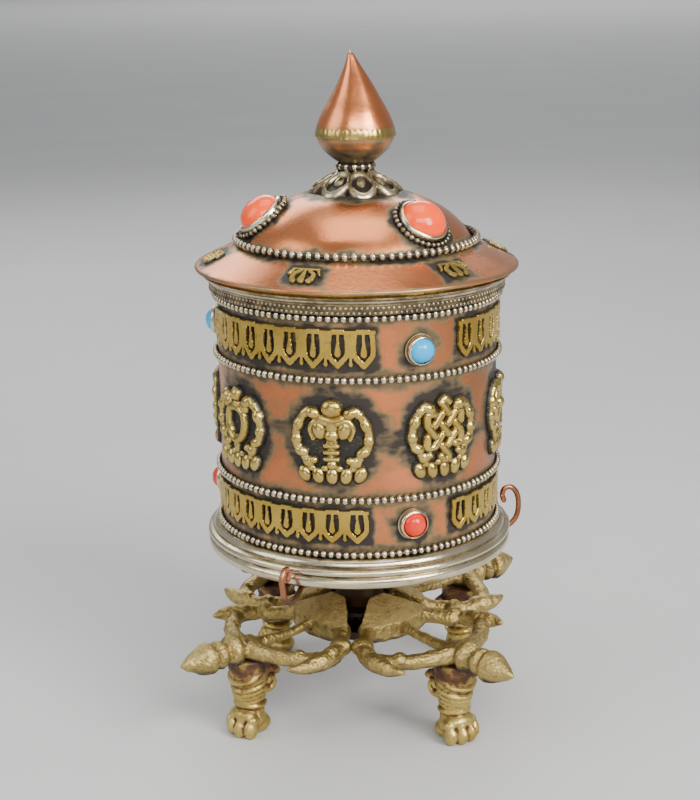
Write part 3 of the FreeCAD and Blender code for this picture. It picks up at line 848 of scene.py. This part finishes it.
def wall_soil(verts):
    """Patina on the drum wall: dark round everything that is soldered on."""
    z = verts[:, 2]
    fade = ragged_fade(0.6 * ripple(verts, 9, 3) + 0.6 * ripple(verts, 4, 4) + 0.4 * ripple(verts, 1.6, 5))
    soil_and_shade = [0.1 + 0.06 * ripple(verts, 22, 41) + 0.05 * ripple(verts * (1, 1, 2.5), 9, 42)]
    for k in range(len(EMBLEMS)):
        u = arc_from(EMBLEM_FIRST_AT + EMBLEM_STEP * k, verts, WALL_R)
        ring = (np.hypot(u / 10.4, (z - EMBLEM_Z) / 11.2) - 1) * 10.6
        bridge = np.abs(arc_from(EMBLEM_FIRST_AT + EMBLEM_STEP * (k + 0.5), verts, WALL_R))
        band = np.abs(z - EMBLEM_Z + 0.5 + 2.2 * ripple(verts, 16, 6)) - 1.6
        soil_and_shade += [fade(ring - 0.5, 3.4), 0.8 * fade(np.maximum(band, bridge - 8), 4)]
    half_u = radians(FRIEZE_SPAN) * WALL_R / 2
    for level, (low, high, stones) in FRIEZES.items():
        for at in stones:
            du = np.abs(arc_from(at - 60, verts, WALL_R)) - half_u
            dv = np.abs(z - (low + high) / 2) - (high - low) / 2
            spot = np.hypot(arc_from(at, verts, WALL_R), z - STONE_Z[level]) - 4.2
            soil_and_shade += [fade(np.maximum(du - 0.4, dv - 0.1), 1.5),
                     0.95 * fade(spot + 0.6 * ripple(verts, 6, 11), 3.2)]
    soil_and_shade += [0.62 * fade(np.abs(z - row) - 1.3, 2.2) for row in BEAD_ROWS.values()]
    return np.maximum.reduce(soil_and_shade)


def cabochon(radius, height, root, stretch):
    """Domed stone with an eased girdle, and a hidden root."""
    turn = np.linspace(0, pi / 2, 12)
    dome = [(radius * cos(t)**0.9, height * sin(t)) for t in turn[:-1]] + [(0, height)]
    verts, faces = lathe([(0, -root), (radius, -root)] + dome, 48)
    return verts * np.array([stretch, 1, 1]), faces


def collar(inner, wall, low, high):
    """Thin upstanding bezel, burnished over at its top."""
    return lathe(rounded([(inner, low), (inner + wall * 1.5, low), (inner + wall, high - 0.4),
                          (inner - 0.1, high), (inner - 0.12, high - 0.25)], 0.25, 3), 64)


def drum():
    wall = finely(np.array([(WALL_R - WALL_T, FLOOR_TOP), (WALL_R, FLOOR_TOP), (WALL_R, DRUM_TOP),
                            (WALL_R - WALL_T, DRUM_TOP)]), 0.5)
    mesh_piece("wall", lathe(wall, 480), "drum", "wall_copper", ["drum_wall"], dirt_and_shade=wall_soil)
    for name, z in BEAD_ROWS.items():
        shape = bead_ring(BEAD_CENTRE_R, z, BEAD_R, BEAD_PITCH, 0.5)
        mesh_piece(f"beads_{name}", shape, "drum", "white_metal", [f"bead_wire_{name}"])

    base = [(36.5, 47.4), (39.4, 47.4), (40.3, 47.9), (40.65, 48.9), (40.5, 49.8), (39.8, 50.45),
        (39.8, 50.7), (40.6, 51.1), (40.75, 51.8), (40.3, 52.45), (39.2, 52.8), (39.2, 53.1), (38.9, 53.8),
        (38.2, 54.4), (37.9, 54.6), (36.5, 54.6)]
    mesh_piece("moulding_base", lathe(finely(rounded(base, 0.35), 0.35), 256), "drum", "white_metal",
        ["base_moulding"], dirt_and_shade=moulding_soil((50.55, 52.95, 54.6, 47.4), 0.5))
    top = [(36.5, 116.7), (38.3, 116.7), (38.35, 118.9), (38.6, 119.5), (39.1, 119.9), (39.3, 120.4),
        (40.1, 120.7), (40.5, 121.4), (36.5, 121.4)]
    body = lathe(finely(rounded(top, 0.3), 0.5), 256)
    parts = [(*body, moulding_top_soil(body[0]))]
    dots, dot_r, dot_rise, dots_at = 186, 0.42, 0.3, 38.3
    dot, dot_faces = ball((0, 0, 0), (dot_r, dot_rise, dot_r), 5, 8)
    dot_soil = np.clip(dot[:, 1] / dot_rise + 0.95, 0.25, 1)
    for z, shift in ((117.35, 0), (118.55, 0.5)):
        placed = dot + np.array([0, -dots_at, z])
        parts += [spin((placed, dot_faces, dot_soil), 360 * (k + shift) / dots) for k in range(dots)]
    mesh_piece("moulding_top", join(*parts), "drum", "white_metal", ["top_moulding"])

    drum_stones()
    for k, (angle, droop, loop) in enumerate(zip(HOOK_AT, HOOK_DROOP, HOOK_LOOP)):
        # the wire is painted darker below the drum's floor, as shade under the drum
        mesh_piece(f"wire_hook_{k + 1}", spin(rod(hook_path(droop, loop), 0.75, 20), angle), "drum",
            "copper_wire", ["finger_hooks"], dirt_and_shade=lambda v: np.clip((46.5 - v[:, 2]) / 3, 0, 0.6))


def hook_path(droop, loop):
    """Bent wire at the front; its loop is bent down by droop, and loop is the loop's size."""
    path = []
    for r, z in ((22, 48.85), (27, 48.85), (31.5, 48.05), (35, 46.4), (38.5, 45.5), (42.2, 45.8), (45, 48),
                 (45.9, 51.4), (45.5, 54.9), (43.9, 57.1), (41.9, 57.1), (41.1, 55.4), (41.6, 53.6)):
        bent = min(1, max(0, (r - 31.5) / 6))
        outward = 0.35 * droop if z > 52 else 0
        if r > 41.1:
            r = 41.1 + (r - 41.1) * loop
        if z > 45.8 and bent == 1:
            z = 45.8 + (z - 45.8) * loop
        path.append((0, -r - outward, z - droop * bent))
    return smooth_path(path)


def moulding_soil(grooves, width):
    def soil_and_shade(verts):
        near = np.min([np.abs(verts[:, 2] - z) for z in grooves], axis=0)
        return 0.85 * unit(1 - near / width) * (0.75 + 0.25 * ripple(verts, 12, 9))
    return soil_and_shade


def moulding_top_soil(verts):
    """Brown all over, near black under the rows of dots and in the grooves, rubbed on the upper bead."""
    z = verts[:, 2]
    dots = 0.66 * unit((119.3 - z) / 0.3) * unit((z - 116.4) / 0.3)
    brown = 0.42 + 0.12 * ripple(verts, 9, 21) - 0.25 * unit(1 - np.abs(z - 120.2) / 0.5)
    return np.maximum.reduce([brown, dots, moulding_soil((119.5, 120.7), 0.35)(verts)])


def drum_stones():
    for level, name, material in (("upper", "turquoise", "turquoise"), ("lower", "coral", "red_coral")):
        for k, angle in enumerate(FRIEZES[level][2]):
            where = (angle, STONE_SEAT_R, STONE_Z[level], 90)
            stone_shape = cabochon(3.2, 3.1, 0.6, 1.06 if level == "upper" else 0.96)
            mesh_piece(f"{name}_{k + 1}", seated(stone_shape, *where), "drum", material, [f"{name}_stones"])
            bezel = join(collar(3.3, 0.42, -0.7, 1.35),
                         lathe(rounded([(3.2, -0.7), (4.1, -0.7), (4.1, -0.2), (3.2, -0.1)], 0.2, 3), 64))
            mesh_piece(f"{name}_bezel_{k + 1}", seated(bezel, *where), "drum", "white_metal",
                [f"{name}_bezels"], dirt_and_shade=lambda v: np.clip((37.3 - off_axis(v)) / 0.5, 0, 0.9))


# ---- lid
def dome_outline():
    """Upper side of the dome as (r, z) points from its foot to its crown."""
    return smooth_path([(DOME_R, BRIM_Z + (BRIM_R - DOME_R) * BRIM_SLOPE), (27.2, 133), (23, 136.6),
                        (17.8, 139.4), (12, DOME_CROWN)], 10)


def lid_soil(verts):
    """Patina on the brim and dome: dark round the beads, stones, palmettes and rosette."""
    r, z = off_axis(verts), verts[:, 2]
    fade = ragged_fade(ripple(verts, 7, 13) + 0.5 * ripple(verts, 2.8, 14))
    soil_and_shade = [0.9 * fade(np.hypot(r - 31.2, z - 129.65) - 1.2, 1.8), 0.85 * fade(r - 13.2, 3),
            0.35 * fade(BRIM_R - r - 0.3, 0.8)]
    place_r, place_z = DOME_STONE_PLACE
    for at in DOME_STONE_AT:
        t = radians(at)
        centre = np.array([place_r * sin(t), -place_r * cos(t), place_z])
        soil_and_shade.append(0.9 * fade(np.linalg.norm(verts - centre, axis=1) - 8, 2.2))
    for at in ORNAMENT_AT:
        soil_and_shade.append(fade(np.maximum(np.abs(arc_from(at, verts, r)) - 4.8, np.abs(r - ORNAMENT_R) - 2.9), 2))
    return np.maximum.reduce(soil_and_shade)


def brim_drawing():
    """Palmette under a rail: a middle drop between two mirrored commas."""
    sheet = 0.8

    def leaf(points, w0, w1):
        return ribbon(points, w0, w1, 0.2, sheet - 0.2, 4, 0.2)
    return ([slab(-3.9, 3.9, 1.9, 2.7, sheet), leaf([(0, 1.6), (0, -2)], 0.45, 0.95)]
            + both(leaf([(1.3, 1.5), (2.5, 0.4), (2.4, -1.4), (1.9, -2.2)], 0.55, 0.8),
                   leaf([(3.5, 1.6), (4, 0.2)], 0.5, 0.3)))


def lid():
    edge = [(28.8, brim_top(28.8) - 0.9), (41.7, brim_top(41.7) - 0.9), (42, brim_top(42) - 0.75),
            (42, brim_top(42) - 0.2), (41.7, brim_top(41.7)), (28.8, brim_top(28.8))]
    mesh_piece("brim", lathe(finely(rounded(edge, 0.2, 3), 0.5), 480), "lid", "copper", ["lid_brim"],
        dirt_and_shade=lid_soil)
    outer = dome_outline()
    inner = [(r - 0.45, z - 0.55) for r, z in outer[::-1]]
    skin = list(map(tuple, outer)) + [(1.5, DOME_CROWN), (1.5, DOME_CROWN - 0.7)] + inner
    mesh_piece("dome", lathe(finely(np.array(skin), 0.6), 384), "lid", "copper", ["lid_dome"], dirt_and_shade=lid_soil)
    mesh_piece("beads_dome", bead_ring(31.2, 129.65, 1, 2.25, 0.55), "lid", "white_metal", ["dome_bead_wire"])
    for k, angle in enumerate(ORNAMENT_AT):
        shape = relief(brim_drawing(), 4.9, 3.3, 0.13, on_brim(angle))
        mesh_piece(f"brim_palmette_{k + 1}", shape, "lid", "brass", ["brim_ornaments"])
    for k, angle in enumerate(DOME_STONE_AT):
        where = (angle, *DOME_STONE_PLACE, DOME_STONE_LEAN)
        mesh_piece(f"dome_coral_{k + 1}", seated(cabochon(5.9, 4.9, 1, 1.03), *where), "lid", "orange_coral",
                   ["dome_corals"])
        mesh_piece(f"dome_bezel_{k + 1}", seated(collar(6, 0.5, -1.6, 1.5), *where), "lid", "white_metal",
                   ["dome_bezels"])
        ring = bead_ring(7.3, -0.3, 0.7, 1.5, 0.45)
        mesh_piece(f"bezel_beads_{k + 1}", seated(ring, *where), "lid", "white_metal", ["bezel_bead_rings"],
                   dirt_and_shade=lambda v: np.full(len(v), 0.3))
    rosette()
    finial()


def rosette():
    """Eight turned-up petals under the finial, each with a rolled rim and a bead."""
    parts = [knob(0, 0, 6.5, rise=0.6, low=0.2)]
    for k in range(8):
        t = radians(45 * k + 15)
        u, v = 8.3 * sin(t), -8.3 * cos(t)
        body = knob(u, v, 3.9, 4.4, 45 * k + 15, 0.1, 0.25)
        rim = (lambda x, y, f=body[0]: np.abs(f(x, y) + 0.75) - 0.72, 0.3, 1.15, 0.72)
        bead = knob(7.4 * sin(t), -7.4 * cos(t), 1.25, 1.7, 45 * k + 15, 1, 0.3)
        parts += [body, rim, bead]

    def place(u, v, h):
        r = np.hypot(u, v)
        base = 141.3 + 4.4 * unit((12.6 - r) / 8)**1.15 - 0.6 * np.clip(r - 10.5, 0, 3)
        z = np.where(h < 0, np.maximum(base - 0.9, 139.9), base + h)
        return np.column_stack([u, v, z])
    shape = relief(parts, 13.2, 13.2, 0.16, place, 0.5, murk=(0.35, 1.15))
    mesh_piece("petals", shape, "lid", "white_metal", ["lotus_rosette"], recess=(24, 0.3, 1.2),
               dirt_and_shade=lambda v: 0.32 + 0.15 * ripple(v, 6, 31))


def finial():
    stem = lathe(rounded([(0, 138), (1.5, 138), (1.5, 146.4), (4.1, 146.5), (4, 149.3), (1.5, 149.6),
        (1.5, 153), (0, 153)], 0.2, 3), 64)
    ring = bead_ring(4.3, 147.9, 0.98, 1.9, 0.9)
    mesh_piece("neck_beads", join(stem, ring), "lid", "white_metal", ["finial_stem"],
               dirt_and_shade=lambda v: unit((4.9 - off_axis(v)) / 0.7))
    cup = smooth_path([(4.9, 149.2), (6.3, 150.2), (8.4, 152.2), (9.75, 154.4), (10.05, 156.2)])
    inner = [(r - 0.8, z + 0.25) for r, z in cup[::-1]]
    mesh_piece("cup", lathe(list(map(tuple, cup)) + inner, 128), "lid", "copper", ["finial_cup"],
               dirt_and_shade=lambda v: 0.42 + 0.55 * unit((153 - v[:, 2]) / 2.8) + 0.1 * ripple(v, 5, 33))
    cone = smooth_path([(10.05, 156.2), (9.8, 158.4), (8.4, 161.7), (6.3, 165.4), (4, 169.6), (2.05, 173.2),
                        (0.85, 175.8)])
    hollow = [(0, 175), (1.9, 172.6), (5.6, 165.4), (9, 158.6), (9.25, 156.2)]
    skin = list(map(tuple, cone)) + [(0.45, 176.5), (0, 176.7)] + hollow
    verts, faces = lathe(skin, 128)
    verts[:, 0] -= 1.2 * unit((verts[:, 2] - 166) / 10.7)**2
    mesh_piece("cone", (verts, faces), "lid", "copper", ["finial_cone"],
               dirt_and_shade=lambda v: 0.25 * unit((159.6 - v[:, 2]) / 2))
    serrated_band()


def serrated_band():
    """Thin strip round the widest place of the finial, its upper edge cut into teeth."""
    teeth = 40
    turn = full_turn(teeth * 6)
    saw = np.abs(((turn * teeth / (2 * pi)) % 1) * 2 - 1)
    rings = [(10.08, 155.4, 0), (10.34, 155.5, 0), (10.36, 156.3, 0), (10.16, 157.2, 0.5), (9.95, 157.7, 1),
             (9.8, 157.6, 1), (10.06, 156.6, 0)]
    verts = []
    for r, z, wave in rings:
        high = z + wave * (0.7 * saw - 0.2)
        verts.append(around(r - 0.1 * wave * saw - 0.08 * (r > 10.3) * (1 - saw), turn, high))
    count = len(turn)
    faces = []
    for i in range(len(rings)):
        j = (i + 1) % len(rings)
        faces += [(i * count + k, i * count + (k + 1) % count, j * count + (k + 1) % count, j * count + k)
                  for k in range(count)]
    mesh_piece("serrated_band", (np.vstack(verts), faces), "lid", "relief_brass", ["finial_band"],
               dirt_and_shade=lambda v: 0.06 + 0.1 * ripple(v, 4, 35), recess=(5, 0.1, 0.8))


# ---- stand
def arm_parts(short_side):
    """Pieces of one arm, made along -Y: (distance from axis, sideways, height).

    short_side is 1 or -1, the side on which the outer prong is the shorter one.
    """
    def path(points, radii):
        smooth = smooth_path([(s, -r, z) for r, s, z in points])
        size = np.interp(np.linspace(0, 1, len(smooth)), np.linspace(0, 1, len(radii)), radii)
        return rod(smooth, size, 14)

    parts = [wedge(), path([(12, 0, 27.6), (24, 0, 26), (37, 0, 26)], [1.7, 1.3, 1.8]),
             ball((0, -41, 28.4), (2.2, 2.2, 1.7))]
    for r, z, size in ((38.6, 26, (3.6, 4.2, 3)), (43.2, 26.2, (4.4, 2.7, 4.3)),
                       (47.6, 26.2, (3.8, 2.4, 3.8))):
        parts.append(ball((0, -r, z), size, 12, 20))
    cone = lathe(rounded([(0, 49.8), (3.9, 49.8), (4.35, 51.2), (3.6, 53.6), (1.9, 57), (0.35, 59.3),
        (0, 59.5)], 0.5), 28)
    verts = np.asarray(cone[0])
    parts.append((np.column_stack([verts[:, 0], -verts[:, 2], verts[:, 1] + 26.2]), cone[1]))
    claw = {
        False: [(20.6, 17, 25.6), (25, 18.6, 25.2), (29.6, 19.7, 25.6), (34.6, 19.5, 25.4), (39, 18, 25.4)],
        True: [(20.6, 17, 25.6), (23.8, 18.6, 25.6), (27.6, 20, 26.2), (31.2, 20.8, 26.6), (34.6, 20.6, 27)],
    }
    for side in (-1, 1):
        def prong(points, radii):
            return path([(r, side * s, z) for r, s, z in points], radii)
        parts += [
            prong([(14.2, 9.6, 26.4), (17.2, 12.4, 25.8), (20.4, 15.2, 25.4)], [2.5, 1.9, 2.2]),
            prong([(24, 18.6, 25.4), (28.5, 18.4, 25.4), (33.5, 14, 25.4), (36.5, 8.6, 25.6), (39, 2.6, 26)],
                  [1.6, 2.1, 2, 2.1, 2.7]),
            prong(claw[side == short_side], [1.9, 2.2, 2.5, 1.8, 0.4]),
            ball((side * 16.6, -20, 26), (2.6, 2.6, 2.4)),
            ball((side * 18.9, -25.8, 26.6), (1.9, 2.6, 1.9)),
            ball((side * 14.4, -32.6, 26), (2.4, 2.2, 2)),
        ]
    return parts


def wedge():
    """Block at the root of an arm: narrow and high by the column, wide and low outside."""
    outer = [(14.4, 12), (17.2, 6.8), (18.2, 0)]
    corners = [(7.4, 2.4, 32.6), (7.6, 3.4, 32.2), (10.6, 7.4, 30.4)] + [(r, s, 28.2) for r, s in outer]
    edge = [(s, -r, z) for r, s, z in corners] + [(-s, -r, z) for r, s, z in corners[-2::-1]]
    count = len(edge)
    verts = [(x, y, 23.5) for x, y, _ in edge] + edge + [(0, -12.5, 30.2), (0, -12.5, 23.5)]
    peak, under = 2 * count, 2 * count + 1
    faces = []
    for k in range(count):
        n = (k + 1) % count
        faces += [(k, n, n + count, k + count), (k + count, n + count, peak), (n, k, under)]
    return np.array(verts), faces


def leg_parts():
    """Lion's paw leg, made at the front with its toes towards -Y."""
    def at_leg(shape):
        verts = np.asarray(shape[0]) * np.array([1, 1, (LEG_TOP - TABLE_Z) / LEG_TOP])
        return verts + np.array([0, -LEG_R, TABLE_Z]), shape[1]

    shank = lathe(rounded([(0, 6), (3.9, 6), (3.5, 9.4), (3.6, 12), (4.4, 15), (5.2, 18), (5.5, 23.5),
        (0, 23.5)], 0.8), 32)
    parts = [shank, ball((0, -0.4, 4.6), (4.6, 4.3, 3.9), 12, 20),
             ball((0, 1.6, 2.6), (4.3, 3.9, 2.9), 10, 18), ball((0, -2.2, 6.3), (4.3, 2.9, 2.2), 10, 18)]
    for z, r, tilt in ((9.2, 3.9, 0.06), (10.9, 3.7, -0.14), (12.3, 3.9, -0.2), (13.7, 4.2, -0.26),
                       (15.3, 4.5, -0.3)):
        turn = full_turn(28)
        parts.append(rod(around(r, turn, z + tilt * r * np.cos(turn)), 0.66, 8, closed=True))
    for s, reach in ((-3.95, 2.9), (-1.4, 4.3), (1.4, 4.3), (3.95, 2.9)):
        parts.append(ball((s, -reach, 2.6), (1.55, 2.1, 2.75), 10, 14))
        parts.append(ball((s * 0.95, -reach + 0.8, 5.2), (1.55, 1.8, 1.6), 8, 12))
    turns = np.linspace(0, 2.7 * pi, 24)
    for side in (-1, 1):
        scroll = [(side * (2.9 + 0.045 * k), 3.7 + (3.5 - 0.36 * t) * cos(t + 0.6),
                   15.6 + (4 - 0.4 * t) * sin(t + 0.6)) for k, t in enumerate(turns)]
        parts.append(rod(scroll, np.linspace(1.25, 0.8, len(scroll)), 9))
    parts += [ball((0, 3.8, 15.6), (3.7, 3.9, 4.4), 10, 18), ball((0, -0.6, 20.4), (5.4, 5.1, 3.8), 10, 18),
              rod(smooth_path([(-4.9, 0.6, 19.6), (-4.3, -3.2, 17.6), (0, -5.2, 16.6), (4.3, -3.2, 17.6),
                               (4.9, 0.6, 19.6)], 5), 0.7, 9)]
    return [at_leg(p) for p in parts]


def stand():
    leg = leg_parts()
    for k, (name, angle) in enumerate(ARMS.items()):
        arm = arm_parts(1 if angle % 180 == 45 else -1)
        made = cast(f"cast_arm_{name}", [spin(p, angle) for p in arm], 0.3, "stand", "cast_brass",
                    [f"vajra_arm_{name}"], 0.07, dirt_and_shade=arm_soil, recess=(10, 0.3, 0.9), seed=20 + k)
        paint_lit_filed_tops(made.data)
        cast(f"cast_leg_{name}", [spin(p, angle) for p in leg], 0.26, "stand", "leg_brass",
             [f"lion_leg_{name}"], 0.04, dirt_and_shade=leg_soil, recess=(14, 0.28, 1.2), seed=30 + k)


def paint_lit_filed_tops(mesh):
    """Marks the flat top of the block at the root of each arm for painted light, lighter and less metallic
    where the front light falls; the top is also worked flat with a file.
    """
    co, normal = places_and_normals(mesh)
    top = unit((co[:, 2] + TABLE_Z - 27.6) / 0.8) * unit((20 - off_axis(co)) / 2)
    write_attribute(mesh, "lit_filed_top", top * unit((normal[:, 2] - 0.6) / 0.2))


def arm_soil(verts):
    """Darker on the undersides and at the roots by the column."""
    below = 0.75 * unit((25 - verts[:, 2]) / 1.6)
    root = 0.7 * unit((9 - off_axis(verts)) / 2)
    return np.maximum(below, root) + 0.12 * ripple(verts, 6, 18)


def leg_soil(verts):
    """Red-brown patina gathers at the top of the leg."""
    return 0.75 * unit((verts[:, 2] - 17.5) / 3) * (0.8 + 0.3 * ripple(verts, 4, 8))


# ---- scene
def dress_frame():
    """Gives the CAD nodes that stay in view their materials."""
    slots = {part["node"]: part["material_slot"] for part in frame["record"]["subparts"]}
    for name, obj in frame["nodes"].items():
        obj.data.materials.clear()
        obj.data.materials.append(MATERIALS[slots[name]])


def studio():
    bpy.ops.mesh.primitive_plane_add(size=30)
    floor = bpy.context.object
    floor.name = "floor"
    s = Shader("pale_floor")
    cloudy = s.ramp(s.noise(6), 0.3, 0.7)
    s.paint(Base_Color=s.mix(cloudy, (0.48, 0.48, 0.48), (0.51, 0.51, 0.505)), Roughness=0.75)
    floor.data.materials.append(s.material)

    world = bpy.data.worlds.new("studio")
    bpy.context.scene.world = world
    world.use_nodes = True
    sky = world.node_tree.nodes["Background"].inputs
    sky["Color"].default_value = (0.8, 0.82, 0.85, 1)
    sky["Strength"].default_value = 0.46

    target = Vector((0, 0, 0.09))
    far = Vector((0, 5.6, 0))
    lamps = (("key", (0.58, -0.46, 0.52), 0.34, 0.48, 9.5, (1, 0.98, 0.95)),
             ("fill", (-0.74, -0.3, 0.56), 0.55, 0.65, 3.2, (0.95, 0.98, 1)),
             ("front", (0.16, -0.74, 0.64), 0.7, 0.34, 5.6, (1, 0.99, 0.97)),
             ("low", (-0.1, -0.8, 0.12), 0.5, 0.16, 0.7, (1, 0.98, 0.95)),
             ("backdrop", (0, 6.5, 3.2), 3, 3, 130, (1, 1, 1)),
             ("back", (-0.3, 0.75, 0.6), 0.7, 0.4, 3, (1, 1, 1)),
             ("top", (0, 0.05, 0.95), 0.6, 0.6, 2.8, (1, 1, 1)))
    for name, place, wide, tall, power, tint in lamps:
        light = bpy.data.lights.new(name, "AREA")
        light.shape = "RECTANGLE"
        light.size, light.size_y = wide, tall
        light.energy = power
        light.color = tint
        lamp = new_object(name, light)
        lamp.location = place
        aim = (far if name == "backdrop" else target) - Vector(place)
        lamp.rotation_euler = aim.to_track_quat("-Z", "Y").to_euler()


def camera():
    distance, height, azimuth, pitch, roll = 424.8, 200.5 - TABLE_Z, 5.1, 15.13, 0.55
    sensor, frame_height = 36, 800
    data = bpy.data.cameras.new("camera")
    data.sensor_width = sensor
    data.lens = 1654 * sensor / frame_height
    data.shift_x = -7.95 / frame_height
    data.clip_start = 0.01
    data.clip_end = 60
    view = new_object("camera", data)
    a = radians(azimuth)
    turn = (Matrix.Rotation(a, 4, "Z") @ Matrix.Rotation(radians(90 - pitch), 4, "X")
            @ Matrix.Rotation(radians(-roll), 4, "Z"))
    place = Matrix.Translation(Vector((sin(a) * distance, -cos(a) * distance, height)) * MM)
    view.matrix_world = place @ turn
    bpy.context.scene.camera = view


dress_frame()
drum()
friezes()
emblems()
lid()
stand()
studio()
camera()
